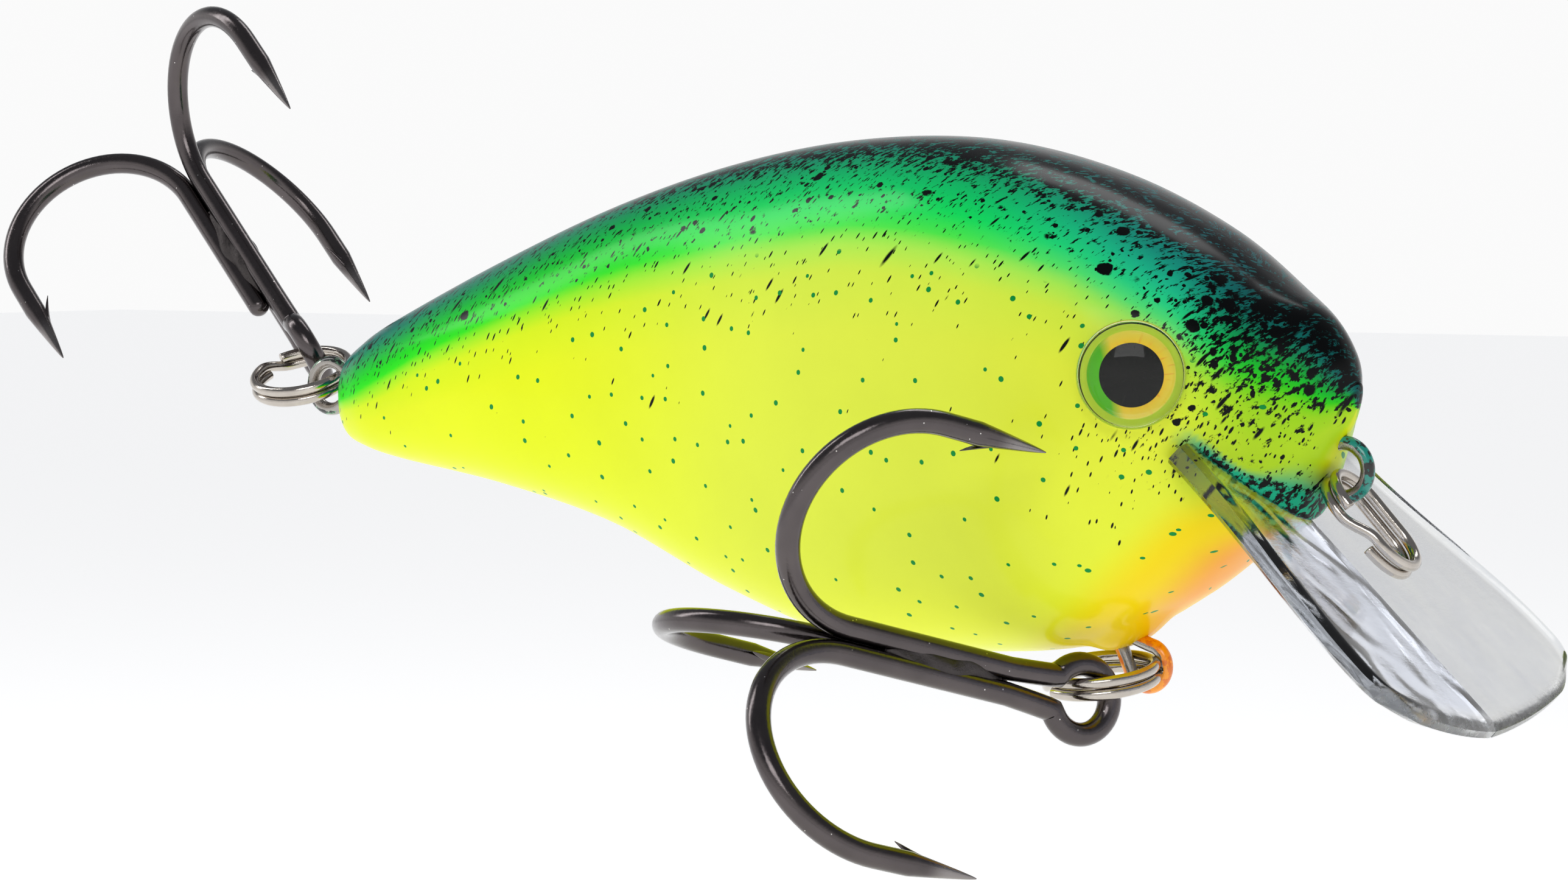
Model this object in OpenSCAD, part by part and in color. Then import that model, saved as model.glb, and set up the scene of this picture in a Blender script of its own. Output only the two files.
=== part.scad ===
// Square-bill crankbait lure: a hollow body of two moulded halves with a clear
// diving bill, three wire hangers, an oval line ring, two split rings and two
// treble hooks. Millimetres. +X points to the nose, +Z to the back, and the
// origin is the centre of the line-tie loop under the nose.

/* [Body] */
// Length of the body from the tail end to the nose
body_length = 53.5; // [52.7:0.05:54.3]
// Depth of the body at its deepest section
body_depth = 21.75; // [21.35:0.05:22.1]
// Width of the body at its widest section
body_width = 16.6; // [16.2:0.1:17]
// Wall thickness of the moulded halves
wall = 1.2; // [1.1:0.05:1.3]
// Squareness of the cross-section: 2 is an ellipse, more is boxier
section_power = 2.3; // [2.1:0.1:2.6]

/* [Bill] */
// Angle of the bill below the body's centre line
bill_angle = 43; // [40:1:46]
// Thickness of the bill
bill_thickness = 1.1; // [1:0.1:1.3]
// Half the width of the bill at its square tip
bill_half_width = 8.5; // [8:0.1:9]
// Upward cant of each half of the bill from the centre seam
bill_cant = 8; // [6:1:10]

/* [Eyes] */
// Diameter of the clear eye lens
eye_lens_d = 4.3; // [4:0.1:4.5]
// Diameter of the printed iris under the lens
eye_iris_d = 3.5; // [3.2:0.1:3.6]

/* [Wire] */
// Wire diameter of the three moulded-in hangers
hanger_wire_d = 0.6; // [0.55:0.01:0.62]
// Outside width of a hanger's loop
hanger_loop_od = 2.8; // [2.75:0.05:2.9]
// Wire diameter of the split rings
split_wire_d = 0.48; // [0.45:0.01:0.5]
// Outside diameter of the split rings
split_ring_od = 5; // [4.9:0.05:5.1]
// Wire diameter of the oval line ring
line_wire_d = 0.44; // [0.42:0.01:0.46]
// Outside length of the oval line ring
line_ring_length = 5.2; // [5:0.1:5.5]
// Outside width of the oval line ring
line_ring_width = 3.4; // [3.2:0.1:3.6]

/* [Treble hooks] */
// Wire diameter of the hooks
hook_wire_d = 1; // [0.9:0.05:1.05]
// Length of the shank, from the eye's centre to the start of the bend
shank_length = 11.4; // [11:0.1:11.8]
// Radius of the round bend
bend_radius = 4.65; // [4.4:0.05:4.8]
// Length of the point leg above the bend
point_length = 4.8; // [4.5:0.05:5.2]
// Outside diameter of the hook's eye
hook_eye_od = 3.9; // [3.8:0.05:4]

/* [Inside] */
// Diameter of the steel rattle balls
rattle_ball_d = 3; // [2.5:0.1:3.2]
// Diameter of the front ballast slug
front_ballast_d = 6; // [5:0.1:6.2]
// Diameter of the rear ballast slug
rear_ballast_d = 4.6; // [4:0.1:5]

/* [Hidden] */
$fn = 48;
gap = 0.02;          // air between two turns of one wire
tube_sides = 10;     // sides of a swept wire

// Everything below is set out from the tail end of the body's centre line, with
// Y to port. The line-tie loop then becomes the origin.
line_tie = [52.9, 0, -2.75];
belly_loop = [43.8, 0, -11.3];
tail_loop = [-1, 0, -0.6];
module placed() translate(-line_tie) children();

// ---- Vectors -------------------------------------------------------------
function unit(v) = v / norm(v);
function across(v, n) = v - (v * n) * n;

// Stands a shape on a frame given by its origin and its local X and Z directions.
module frame_at(origin, x_dir, z_dir) {
    z = unit(z_dir);
    x = unit(across(x_dir, z));
    y = cross(z, x);
    multmatrix([
        [x.x, y.x, z.x, origin.x],
        [x.y, y.y, z.y, origin.y],
        [x.z, y.z, z.z, origin.z],
        [0, 0, 0, 1]
    ]) children();
}

// ---- Wire swept along a list of points ------------------------------------
function tangent(path, i) =
    unit(path[min(i + 1, len(path) - 1)] - path[max(i - 1, 0)]);

// One normal for each point, carried along the wire without twisting.
function carried(path, start) = [
    for (i = 0, n = unit(across(start, tangent(path, 0)));
         i < len(path);
         i = i + 1, n = i < len(path) ? unit(across(n, tangent(path, i))) : n) n
];

module wire(path, radii, start) {
    normals = carried(path, start);
    count = len(path);
    points = [
        for (i = [0:count - 1])
            let (n = normals[i], b = cross(tangent(path, i), n))
            for (j = [0:tube_sides - 1])
                let (a = 360 * j / tube_sides)
                path[i] + radii[i] * (cos(a) * n + sin(a) * b)
    ];
    walls = [
        for (i = [0:count - 2], j = [0:tube_sides - 1])
            let (p = i * tube_sides, k = (j + 1) % tube_sides)
            each [[p + j, p + tube_sides + j, p + k],
                  [p + k, p + tube_sides + j, p + tube_sides + k]]
    ];
    first_cap = [for (j = [0:tube_sides - 1]) j];
    last_cap = [for (j = [tube_sides - 1:-1:0]) (count - 1) * tube_sides + j];
    polyhedron(points, concat([first_cap], walls, [last_cap]));
}

module even_wire(path, diameter, start) {
    wire(path, [for (p = path) diameter / 2], start);
}

function arc(centre, radius, from, to, steps) = [
    for (i = [0:steps])
        let (a = from + (to - from) * i / steps)
        centre + radius * [cos(a), sin(a)]
];

// ---- Body ------------------------------------------------------------------
// Stations from tail to nose: [top x, top z, bottom x, bottom z, half width].
stations = [
    [0.1, -0.3, 0.1, -1.7, 0.4],
    [0.5, 0.7, 0.6, -2.9, 1.3],
    [1.7, 1.55, 1.7, -3.4, 2.1],
    [4, 2.75, 4, -3.9, 2.9],
    [10.7, 5.6, 10.5, -4.9, 4.3],
    [17.4, 8.1, 17.2, -6.5, 5.4],
    [23.8, 9.85, 23.6, -9.1, 6.2],
    [30, 10.75, 30, -10.9, 7.4],
    [36, 10.7, 36, -11, 8.2],
    [41.6, 9.4, 41.5, -10.4, 8.33],
    [46.4, 7.25, 45.4, -8.55, 7.3],
    [50, 4.8, 48.9, -6.1, 5.35],
    [52.05, 3.5, 51.2, -5, 2.7],
    [53.15, 2.05, 52, -3.5, 1.65],
    [53.6, 0.8, 53, -1.35, 0.5]
];
station_scale = [
    body_length / 53.5, body_depth / 21.75, body_length / 53.5,
    body_depth / 21.75, body_width / 16.6
];
function station(k) =
    let (row = stations[max(0, min(len(stations) - 1, k))])
    [for (i = [0:4]) row[i] * station_scale[i]];

// A smooth curve through the stations; s counts stations from the tail.
function section(s) =
    let (k = min(floor(s), len(stations) - 2), t = s - k,
         a = station(k - 1), b = station(k), c = station(k + 1), d = station(k + 2))
    0.5 * (2 * b + (c - a) * t + (2 * a - 5 * b + 4 * c - d) * t * t
           + (3 * b - a - 3 * c + d) * t * t * t);

function signed_power(v, p) = sign(v) * pow(abs(v), p);

// The point of a section at angle t, from -90 at the belly to 90 at the back.
function skin(row, t, inset) =
    let (top = [row[0], row[1]], bottom = [row[2], row[3]],
         in = inset * unit(top - bottom),
         u = (1 + signed_power(sin(t), 2 / section_power)) / 2,
         p = (bottom + in) * (1 - u) + (top - in) * u,
         y = (row[4] - inset) * pow(max(cos(t), 0), 2 / section_power))
    [p.x, max(y, 0), p.y];

body_rings = 38;
ring_steps = 14;
cavity_from = 2.4;   // stations between which the body is hollow
cavity_to = 12.3;

function shell_points() = concat(
    [for (i = [0:body_rings], j = [0:ring_steps])
        skin(section((len(stations) - 1) * i / body_rings),
             -90 + 180 * j / ring_steps, 0)],
    [for (i = [0:body_rings], j = [0:ring_steps])
        skin(section(cavity_from + (cavity_to - cavity_from) * i / body_rings),
             -90 + 180 * j / ring_steps, wall)]
);

// Indexes of the outer and inner points of ring i at step j.
function outer(i, j) = i * (ring_steps + 1) + j;
function inner(i, j) = (body_rings + 1 + i) * (ring_steps + 1) + j;
function quad(a, b, c, d) = [[a, c, b], [a, d, c]];

function shell_faces() = concat(
    [for (i = [0:body_rings - 1], j = [0:ring_steps - 1]) each concat(
        quad(outer(i, j), outer(i, j + 1), outer(i + 1, j + 1), outer(i + 1, j)),
        quad(inner(i, j), inner(i + 1, j), inner(i + 1, j + 1), inner(i, j + 1)))],
    [for (i = [0:body_rings - 1]) each concat(
        quad(outer(i, 0), outer(i + 1, 0), inner(i + 1, 0), inner(i, 0)),
        quad(outer(i, ring_steps), inner(i, ring_steps),
             inner(i + 1, ring_steps), outer(i + 1, ring_steps)))],
    [for (j = [1:ring_steps - 1])
        [outer(0, 0), outer(0, j), outer(0, j + 1)]],
    quad(inner(0, 0), inner(0, ring_steps), outer(0, ring_steps), outer(0, 0)),
    [for (j = [1:ring_steps - 1])
        [outer(body_rings, 0), outer(body_rings, j + 1), outer(body_rings, j)]],
    quad(outer(body_rings, 0), outer(body_rings, ring_steps),
         inner(body_rings, ring_steps), inner(body_rings, 0)),
    [for (j = [1:ring_steps - 1])
        [inner(0, 0), inner(0, j + 1), inner(0, j)]],
    [for (j = [1:ring_steps - 1])
        [inner(body_rings, 0), inner(body_rings, j), inner(body_rings, j + 1)]]
);

// The left half; the right half is its mirror image.
module bare_shell(side) {
    mirror([0, side > 0 ? 0 : 1, 0]) polyhedron(shell_points(), shell_faces());
}

// The station whose section stands at x, found by halving.
function station_at(x, low = 0, high = len(stations) - 1, tries = 14) =
    let (middle = (low + high) / 2, row = section(middle))
    tries == 0 ? middle
    : (row[0] + row[2]) / 2 < x ? station_at(x, middle, high, tries - 1)
    : station_at(x, low, middle, tries - 1);

// Half width of the body at a place given in X and Z.
function half_width(x, z) =
    let (row = section(station_at(x)), middle = (row[1] + row[3]) / 2,
         rise = min(abs(z - middle) / ((row[1] - row[3]) / 2), 1))
    row[4] * pow(1 - pow(rise, section_power), 1 / section_power);

// How far a boss reaches so that its flat end stays inside the wall.
function reach_in_wall(place, size) =
    min([for (x = [-1, 1], z = [-1, 1])
        half_width(place[0] + x * size[0] / 2, place[1] + z * size[1] / 2)])
    - wall / 3;

// What is joined to or cut from the faceted shell has flat sides too.
boss_sides = 12;

// A round boss from the mid-plane out into the wall of one half.
module boss(place, diameter, side) {
    reach = reach_in_wall(place, [diameter, diameter]);
    translate([place[0], side > 0 ? 0 : -reach, place[1]])
        rotate([-90, 0, 0]) cylinder(d = diameter, h = reach, $fn = boss_sides);
}

// Posts that the hanger wires loop round, as [x, z].
hanger_r = (hanger_loop_od - hanger_wire_d) / 2;
line_tie_post = [49.7, -1.6];
belly_post = [42.9, -6.8];
tail_post = [4.2, -0.7];
post_d = 1.2;

// Dowels that line the two halves up: pins on the left half, holes in the right.
dowel_places = [[12, 0.6], [20.5, 5], [39, 6.2], [46, 3]];
dowel_boss_d = 2.4;
dowel_pin_d = 1.2;
dowel_pin_l = 1.6;
dowel_hole_d = 1.34;
dowel_hole_l = 2;

module dowel(place, diameter, length) {
    translate([place[0], -length, place[1]])
        rotate([-90, 0, 0]) cylinder(d = diameter, h = length + 0.5, $fn = boss_sides);
}

// A plain block from the mid-plane out into the wall of one half.
module block(place, size, side) {
    reach = reach_in_wall(place, size);
    translate([place[0] - size[0] / 2, side > 0 ? 0 : -reach, place[1] - size[1] / 2])
        cube([size[0], reach, size[1]]);
}

// The rattle chamber, a square duct right across the body.
chamber_place = [27.6, -0.4];
chamber_size = [4.4, 4.4];
chamber_wall = 0.5;

module chamber_duct(side) {
    hole = [for (length = chamber_size) length - 2 * chamber_wall];
    difference() {
        block(chamber_place, chamber_size, side);
        translate([chamber_place[0] - hole[0] / 2, -10, chamber_place[1] - hole[1] / 2])
            cube([hole[0], 20, hole[1]]);
    }
}

// Ballast slugs, each held by two ribs in each half.
front_ballast_place = [33.4, -6.2];
front_ballast_l = 8;
rear_ballast_place = [18.6, -1.4];
rear_ballast_l = 5;
rib_thickness = 0.8;

module slug_ribs(place, diameter, length, side) {
    difference() {
        for (x = [-length / 4, length / 4])
            block(place + [x, 0], [rib_thickness, diameter / 2], side);
        translate([place[0] - length / 2, 0, place[1]]) rotate([0, 90, 0])
            rotate([0, 0, 180 / boss_sides])
            cylinder(d = diameter / cos(180 / boss_sides), h = length, $fn = boss_sides);
    }
}

module half_shell(side) {
    difference() {
        union() {
            bare_shell(side);
            chamber_duct(side);
            slug_ribs(front_ballast_place, front_ballast_d, front_ballast_l, side);
            slug_ribs(rear_ballast_place, rear_ballast_d, rear_ballast_l, side);
            for (post = [line_tie_post, belly_post, tail_post])
                boss(post, post_d, side);
            for (place = dowel_places)
                boss(place, dowel_boss_d, side);
            if (side > 0)
                for (place = dowel_places) dowel(place, dowel_pin_d, dowel_pin_l);
        }
        eye_pocket(side);
        if (side < 0)
            for (place = dowel_places) dowel(place, dowel_hole_d, dowel_hole_l);
    }
}

module half_shell_right() color("#c8e83a") placed() half_shell(-1);
module half_shell_left() color("#b4dc3c") placed() half_shell(1);

// ---- Eyes ------------------------------------------------------------------
eye_centre = [47.15, 7.02, 1.18];
eye_axis = [0.48, 0.87, 0.1];
eye_pocket_depth = 0.7;
eye_iris_h = 0.3;
eye_dome_h = 0.55;

module at_eye(side) {
    frame_at([eye_centre.x, side * eye_centre.y, eye_centre.z], [0, 0, 1],
             [eye_axis.x, side * eye_axis.y, eye_axis.z]) children();
}

module eye_pocket(side) {
    at_eye(side) translate([0, 0, -eye_pocket_depth])
        cylinder(d = eye_lens_d / cos(180 / boss_sides), h = 3, $fn = boss_sides);
}

module eye_iris(side) {
    at_eye(side) translate([0, 0, -eye_pocket_depth])
        cylinder(d = eye_iris_d, h = eye_iris_h);
}

// The lens: a rim ring seated in the pocket, with a low dome over the iris.
module eye_lens(side) {
    dome_r = (pow(eye_lens_d / 2, 2) + pow(eye_dome_h, 2)) / (2 * eye_dome_h);
    seat = eye_pocket_depth - eye_iris_h;
    at_eye(side) translate([0, 0, -seat]) union() {
        cylinder(d = eye_lens_d, h = seat);
        translate([0, 0, seat]) intersection() {
            cylinder(d = eye_lens_d, h = eye_dome_h + 1);
            translate([0, 0, eye_dome_h - dome_r]) sphere(r = dome_r, $fn = 96);
        }
    }
}

module eye_iris_right() color("gold") placed() eye_iris(-1);
module eye_iris_left() color("gold") placed() eye_iris(1);
module eye_lens_right() color("lightcyan", 0.5) placed() eye_lens(-1);
module eye_lens_left() color("lightcyan", 0.5) placed() eye_lens(1);

// ---- Bill ------------------------------------------------------------------
bill_origin = [52.4, 0, -5.7];
bill_root = -5.2;
bill_tip = 10.3;
bill_root_half_width = 6.5;
bill_corner_r = 2.6;
bill_corner = [7.1, bill_half_width - bill_corner_r];
bill_tip_r = 24;
bill_tip_sweep = 13.5;

// Outline of one half in its own plane: X down the bill, Y out from the seam.
bill_outline = concat(
    [[bill_root, -1], [bill_tip, -1]],
    arc([bill_tip - bill_tip_r, 0], bill_tip_r, 0, bill_tip_sweep, 6),
    arc(bill_corner, bill_corner_r, 40, 98, 6),
    [[bill_root, bill_root_half_width]]
);

module bill_half(side) {
    intersection() {
        translate(bill_origin) rotate([0, bill_angle, 0])
            rotate([side * bill_cant, 0, 0])
            translate([0, 0, -bill_thickness])
            mirror([0, side > 0 ? 0 : 1, 0])
            linear_extrude(bill_thickness) polygon(bill_outline);
        translate([40, side > 0 ? 0 : -20, -30]) cube([40, 20, 40]);
    }
}

module bill_half_right() color("lightsteelblue", 0.6) placed() bill_half(-1);
module bill_half_left() color("lightsteelblue", 0.6) placed() bill_half(1);

// ---- Hanger wires -----------------------------------------------------------
// An upright obround link: a half ring at each end and two straight legs.
module hanger(loop, post) {
    reach = norm([post[0] - loop.x, post[1] - loop.z]);
    frame_at(loop, [post[0] - loop.x, 0, post[1] - loop.z], [0, -1, 0]) union() {
        rotate([0, 0, 90]) half_ring();
        translate([reach, 0, 0]) rotate([0, 0, -90]) half_ring();
        for (y = [-hanger_r, hanger_r])
            translate([0, y, 0]) rotate([0, 90, 0])
                cylinder(d = hanger_wire_d, h = reach);
    }
}

module half_ring() {
    rotate_extrude(angle = 180) translate([hanger_r, 0]) circle(d = hanger_wire_d);
}

module line_tie_wire() color("darkcyan") placed() hanger(line_tie, line_tie_post);
module belly_hanger_wire() color("orange") placed() hanger(belly_loop, belly_post);
module tail_hanger_wire() color("silver") placed() hanger(tail_loop, tail_post);

// ---- Rings -------------------------------------------------------------------
ring_r = (split_ring_od - split_wire_d) / 2;
split_pitch = split_wire_d + gap;
split_turn_steps = 30;
split_turns = 1.94;

// A split ring is two close turns of wire, here about its own Z axis.
module split_ring() {
    steps = round(split_turns * split_turn_steps);
    path = [
        for (i = [0:steps])
            let (turn = i / split_turn_steps, a = 360 * turn,
                 z = split_pitch * (turn - split_turns / 2))
            [ring_r * cos(a), ring_r * sin(a), z]
    ];
    even_wire(path, split_wire_d, [0, 0, 1]);
}

// Directions from the hanger loop to each ring's centre, each ring's axis, and
// how far the belly ring lies off the loop's own centre.
belly_ring_axis = [-0.02, -0.18, 0.98];
belly_ring_reach = [-0.57, -0.81, -0.16];
belly_ring_play = [-0.03, 0.25, 0.11];
tail_ring_axis = [0.08, -0.4, 0.91];
tail_ring_reach = [-0.97, 0.2, 0.17];
function ring_centre(loop, reach, axis) =
    loop + ring_r * unit(across(reach, unit(axis)));
belly_ring_centre =
    ring_centre(belly_loop, belly_ring_reach, belly_ring_axis) + belly_ring_play;
tail_ring_centre = ring_centre(tail_loop, tail_ring_reach, tail_ring_axis);

module belly_split_ring() color("gainsboro") placed()
    frame_at(belly_ring_centre, belly_loop - belly_ring_centre, belly_ring_axis)
        rotate([0, 0, 190]) split_ring();
module tail_split_ring() color("gainsboro") placed()
    frame_at(tail_ring_centre, tail_loop - tail_ring_centre, tail_ring_axis)
        rotate([0, 0, 190]) split_ring();

// The oval ring hangs from the line tie: local X is its length, from the tie.
line_ring_axis = [0.75, 0.09, 0.65];
line_ring_down = [0.64, 0.14, -0.755];
line_ring_top = line_tie + [-0.08, -0.3, -0.26];
line_pitch = line_wire_d + gap;
line_r = (line_ring_width - line_wire_d) / 2;
line_straight = line_ring_length - line_ring_width;
line_lap = 2 * PI * line_r + 2 * line_straight;

// A point of the oval at distance s along it, counted from its upper end.
function oval_point(s) =
    let (q = PI * line_r / 2, d = s % line_lap)
    d < q ? [line_r * (1 - cos(90 * d / q)), line_r * sin(90 * d / q)]
    : d < q + line_straight ? [line_r + d - q, line_r]
    : d < 3 * q + line_straight
        ? let (a = 90 * (d - q - line_straight) / q)
          [line_r + line_straight + line_r * sin(a), line_r * cos(a)]
    : d < 3 * q + 2 * line_straight
        ? [line_r + line_straight - (d - 3 * q - line_straight), -line_r]
    : let (a = 90 * (d - 3 * q - 2 * line_straight) / q)
      [line_r * (1 - sin(a)), -line_r * cos(a)];

line_turns = 1.8;
line_start = 0.6;
line_steps = 64;

module line_ring() color("gainsboro") placed()
    frame_at(line_ring_top, line_ring_down, line_ring_axis)
        even_wire([
            for (i = [0:line_steps])
                let (turn = line_turns * i / line_steps,
                     p = oval_point((line_start + turn) * line_lap))
                [p.x, p.y, line_pitch * (turn - line_turns / 2)]
        ], line_wire_d, [0, 0, 1]);

// ---- Treble hooks --------------------------------------------------------------
// Local frame of a treble: origin at the eye's centre, Z down the shank to the
// bend, and X towards the brazed-on single hook. The eye lies in the YZ plane.
shank_offset = hook_wire_d / 2 / sin(60) + gap;
eye_r = (hook_eye_od - hook_wire_d) / 2;
shank_top = 3.6;
tip_r = 0.04;
point_taper = 3.2;   // length of the ground point
bend_steps = 14;

function radial(angle, q, z) = [q * cos(angle), q * sin(angle), z];

// Centre line of one hook from the top of its shank to its tip.
function hook_line(angle, top) = concat(
    [radial(angle, shank_offset, top)],
    [for (i = [0:bend_steps])
        let (a = 180 * i / bend_steps)
        radial(angle, shank_offset + bend_radius * (1 - cos(a)),
               shank_length + bend_radius * sin(a))],
    [for (t = [point_length - point_taper, point_length - point_taper / 2, point_length])
        radial(angle, shank_offset + 2 * bend_radius, shank_length - t)]
);
function hook_radii() = concat(
    [for (i = [0:bend_steps + 2]) hook_wire_d / 2],
    [hook_wire_d * 0.32, tip_r]
);
function backwards(list) = [for (i = [len(list) - 1:-1:0]) list[i]];

// The eye from one shank round to the other, in the plane of the two shanks.
eye_gap_angle = 32;
function eye_line() =
    let (x = shank_offset * cos(120), steps = 20)
    [for (i = [0:steps])
        let (a = -90 + eye_gap_angle + (360 - 2 * eye_gap_angle) * i / steps)
        [x, eye_r * cos(a), -eye_r * sin(a)]];

module double_hook() {
    side_a = hook_line(120, shank_top);
    side_b = hook_line(240, shank_top);
    path = concat(backwards(side_a), eye_line(), side_b);
    radii = concat(backwards(hook_radii()), [for (p = eye_line()) hook_wire_d / 2],
                   hook_radii());
    wire(path, radii, [1, 0, 0]);
}

module single_hook() {
    wire(hook_line(0, shank_top), hook_radii(), [0, 1, 0]);
}

// Solder between and around the three shanks, clear of the bare wire below.
braze_from = 4.2;
braze_to = 9.6;
module hook_braze() {
    difference() {
        translate([0, 0, braze_from])
            cylinder(r = shank_offset + 0.12, h = braze_to - braze_from);
        for (angle = [0, 120, 240])
            translate(radial(angle, shank_offset, braze_from - 1))
                cylinder(d = hook_wire_d, h = braze_to - braze_from + 2);
    }
}

// Directions of each treble: down its shank, and towards its single hook.
belly_treble_axis = [-0.41, -0.875, 0.255];
belly_treble_single = [-0.91, 0.4, -0.105];
tail_treble_axis = [-0.715, 0.15, 0.68];
tail_treble_single = [-0.595, -0.64, -0.485];

// Each eye hangs on its ring's wire, a little off the wire's own centre line.
belly_eye_reach = [0.13, -0.97, -0.18];
belly_eye_play = [-0.14, -0.04, -0.39];
tail_eye_reach = [-0.61, 0.71, 0.36];
tail_eye_play = [0.14, -0.2, 0.22];
function eye_place(centre, reach, axis) =
    centre + ring_r * unit(across(reach, unit(axis)));
belly_eye =
    eye_place(belly_ring_centre, belly_eye_reach, belly_ring_axis) + belly_eye_play;
tail_eye =
    eye_place(tail_ring_centre, tail_eye_reach, tail_ring_axis) + tail_eye_play;

module at_belly_treble() placed()
    frame_at(belly_eye, belly_treble_single, belly_treble_axis) children();
module at_tail_treble() placed()
    frame_at(tail_eye, tail_treble_single, tail_treble_axis) children();

module belly_double_hook() color("dimgray") at_belly_treble() double_hook();
module belly_single_hook() color("dimgray") at_belly_treble() single_hook();
module belly_hook_braze() color("gray") at_belly_treble() hook_braze();
module tail_double_hook() color("dimgray") at_tail_treble() double_hook();
module tail_single_hook() color("dimgray") at_tail_treble() single_hook();
module tail_hook_braze() color("gray") at_tail_treble() hook_braze();

// ---- Inside the body --------------------------------------------------------------
ball_start = 1.6;

// A ballast slug lies along the body, with chamfered ends.
module slug(place, diameter, length) {
    chamfer = 0.6;
    translate([place[0] - length / 2, 0, place[1]]) rotate([0, 90, 0]) rotate_extrude()
        polygon([
            [0, 0], [diameter / 2 - chamfer, 0], [diameter / 2, chamfer],
            [diameter / 2, length - chamfer], [diameter / 2 - chamfer, length],
            [0, length]
        ]);
}

module front_ballast() color("slategray") placed()
    slug(front_ballast_place, front_ballast_d, front_ballast_l);
module rear_ballast() color("slategray") placed()
    slug(rear_ballast_place, rear_ballast_d, rear_ballast_l);
module rattle_ball_right() color("silver") placed()
    translate([chamber_place[0], -ball_start, chamber_place[1]]) sphere(d = rattle_ball_d);
module rattle_ball_left() color("silver") placed()
    translate([chamber_place[0], ball_start, chamber_place[1]]) sphere(d = rattle_ball_d);

half_shell_right();
half_shell_left();
bill_half_right();
bill_half_left();
eye_iris_right();
eye_iris_left();
eye_lens_right();
eye_lens_left();
line_tie_wire();
belly_hanger_wire();
tail_hanger_wire();
front_ballast();
rear_ballast();
rattle_ball_right();
rattle_ball_left();
line_ring();
belly_split_ring();
tail_split_ring();
belly_double_hook();
belly_single_hook();
belly_hook_braze();
tail_double_hook();
tail_single_hook();
tail_hook_braze();
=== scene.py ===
"""Square-bill crankbait lure: the looks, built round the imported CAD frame.

Shapes are set out in the lure's own millimetres: x from the tail end of the body to
the nose, y to port, z up from the body's centre line. row() turns them into the
frame's metres, whose origin is the line-tie loop under the nose.
"""
import math

import bpy
import numpy as np
from mathutils import Matrix, Vector, kdtree


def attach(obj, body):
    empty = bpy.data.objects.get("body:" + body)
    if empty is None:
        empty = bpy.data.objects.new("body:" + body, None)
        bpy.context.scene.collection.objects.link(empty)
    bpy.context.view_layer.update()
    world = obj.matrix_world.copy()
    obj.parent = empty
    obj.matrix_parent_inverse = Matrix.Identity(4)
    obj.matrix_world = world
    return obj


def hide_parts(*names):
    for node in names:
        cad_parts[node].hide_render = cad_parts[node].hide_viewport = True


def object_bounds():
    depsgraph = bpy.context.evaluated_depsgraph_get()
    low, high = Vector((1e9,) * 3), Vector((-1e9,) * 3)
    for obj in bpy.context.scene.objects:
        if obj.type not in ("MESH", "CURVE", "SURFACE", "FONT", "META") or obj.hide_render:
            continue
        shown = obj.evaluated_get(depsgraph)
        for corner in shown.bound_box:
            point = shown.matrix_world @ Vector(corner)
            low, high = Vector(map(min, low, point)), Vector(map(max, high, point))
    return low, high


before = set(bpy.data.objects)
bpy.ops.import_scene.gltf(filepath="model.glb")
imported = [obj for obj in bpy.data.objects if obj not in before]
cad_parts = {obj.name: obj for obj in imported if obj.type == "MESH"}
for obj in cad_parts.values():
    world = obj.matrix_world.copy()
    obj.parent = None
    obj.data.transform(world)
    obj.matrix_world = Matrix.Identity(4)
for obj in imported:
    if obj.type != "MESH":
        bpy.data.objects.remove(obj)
CAD_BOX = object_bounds()

MM = 0.001
LINE_TIE = np.array([52.9, 0, -2.75])
BELLY_LOOP = np.array([43.8, 0, -11.3])
TAIL_LOOP = np.array([-1, 0, -0.6])
RIGHT, LEFT = -1, 1
SIDE_NAME = {RIGHT: "right", LEFT: "left"}


def row(points):
    """Lure millimetres to metres in the frame."""
    return (np.asarray(points, float) - LINE_TIE) * MM


def unit(v):
    v = np.asarray(v, float)
    return v / np.linalg.norm(v)


def axes(x_dir, z_dir):
    """Three unit axes as columns: z along z_dir, x as near x_dir as it can be."""
    z = unit(z_dir)
    x = np.asarray(x_dir, float)
    x = unit(x - (x @ z) * z)
    return np.column_stack([x, np.cross(z, x), z])


def smooth_step(value, start, end):
    t = np.clip((np.asarray(value, float) - start) / (end - start), 0, 1)
    return t * t * (3 - 2 * t)


def linear(colour):
    """A colour written as six hex digits, as linear red, green and blue."""
    srgb = np.array([int(colour[i:i + 2], 16) for i in (0, 2, 4)]) / 255
    return np.where(srgb <= 0.04045, srgb / 12.92, ((srgb + 0.055) / 1.055) ** 2.4)


def rgba(colour):
    return (*linear(colour), 1)


# ---- Meshes ------------------------------------------------------------------
def make_piece(name, points, faces, body, material, node):
    """A mesh piece from lure millimetres, riding on a body in place of a CAD node."""
    mesh = bpy.data.meshes.new(name)
    mesh.from_pydata(row(points).tolist(), [], [list(map(int, f)) for f in faces])
    mesh.validate()
    mesh.shade_smooth()
    piece = bpy.data.objects.new(name, mesh)
    bpy.context.scene.collection.objects.link(piece)
    mesh.materials.append(material)
    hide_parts(node)
    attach(piece, body)
    return piece


def sharpen(piece, degrees):
    """Edges sharper than this angle stay crisp."""
    piece.data.set_sharp_from_angle(angle=math.radians(degrees))


def set_attribute(piece, name, kind, values):
    field = {"FLOAT": "value", "FLOAT_VECTOR": "vector", "FLOAT_COLOR": "color"}[kind]
    layer = piece.data.attributes.new(name, kind, "POINT")
    layer.data.foreach_set(field, np.asarray(values, float).ravel())


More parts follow.
